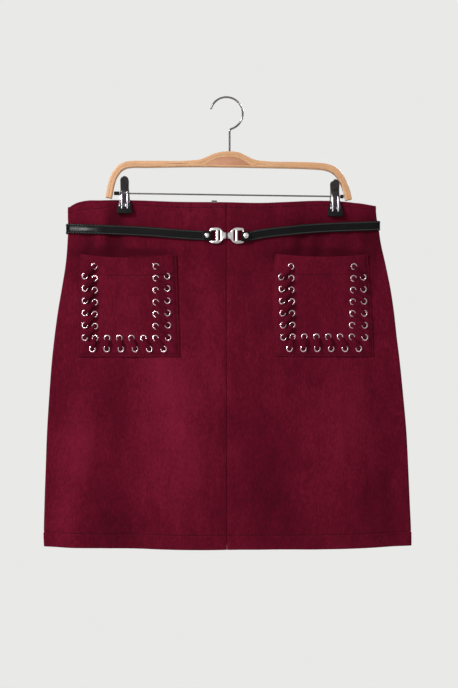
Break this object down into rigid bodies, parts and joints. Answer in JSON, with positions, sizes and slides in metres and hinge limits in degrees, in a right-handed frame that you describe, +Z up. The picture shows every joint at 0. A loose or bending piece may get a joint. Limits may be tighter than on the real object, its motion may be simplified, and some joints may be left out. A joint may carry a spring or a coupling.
{
  "type": "mini skirt on a clip hanger",
  "caption": "A-line mini skirt with laced patch pockets and a thin belt, hung flat by its waist from a wooden clip hanger.",
  "frame": {"origin": "inner top of the hanger's hook, where a rail carries it", "axes": "+Z up, +Y from the skirt's front to its back, +X to the right as seen from the front"},
  "size_m": [0.5156, 0.0433, 0.6333],
  "materials": {
    "suede": "burgundy faux suede, matt with a soft nap",
    "lace": "burgundy faux suede lace, matt",
    "belt_leather": "smooth black leather, semi-gloss",
    "silver_metal": "polished silver metal",
    "zip_tape": "woven burgundy zip tape",
    "zip_metal": "dark metal",
    "hanger_wood": "pale laminated wood, satin lacquer",
    "filler_wood": "reddish wood, satin lacquer",
    "hook_chrome": "polished chrome",
    "bar_steel": "plated steel",
    "black_plastic": "matt black plastic",
    "clip_rubber": "matt black rubber"
  },
  "bodies": {
    "skirt": {"panel_front_left": "suede", "panel_front_right": "suede", "panel_back_left": "suede", "panel_back_right": "suede", "pocket_left": "suede", "pocket_right": "suede", "lace_left": "lace", "lace_right": "lace", "belt_front_left": "belt_leather", "belt_front_right": "belt_leather", "belt_back": "belt_leather", "buckle_left": "silver_metal", "buckle_right": "silver_metal", "rivet_left": "silver_metal", "rivet_right": "silver_metal", "zip_tape": "zip_tape", "zip_slider": "zip_metal", "hanger_bow_outer": "hanger_wood", "hanger_bow_inner": "hanger_wood", "hanger_filler": "filler_wood", "hanger_hook": "hook_chrome", "hanger_bar": "bar_steel", "bar_sleeve_left": "black_plastic", "bar_sleeve_right": "black_plastic", "clip_left_jaw_front": "hook_chrome", "clip_left_jaw_back": "hook_chrome", "clip_left_pad_front": "clip_rubber", "clip_left_pad_back": "clip_rubber", "clip_left_spring": "bar_steel", "clip_right_jaw_front": "hook_chrome", "clip_right_jaw_back": "hook_chrome", "clip_right_pad_front": "clip_rubber", "clip_right_pad_back": "clip_rubber", "clip_right_spring": "bar_steel"},
    "pull_tab": {"zip_pull": "zip_metal"}
  },
  "joints": [
    {"name": "pull_tab_swing", "type": "hinge", "parent": "skirt", "child": "pull_tab", "pos_m": [-0.017, 0.00953, -0.14608], "axis": [1, 0, 0], "range_deg": [0, 170]}
  ]
}
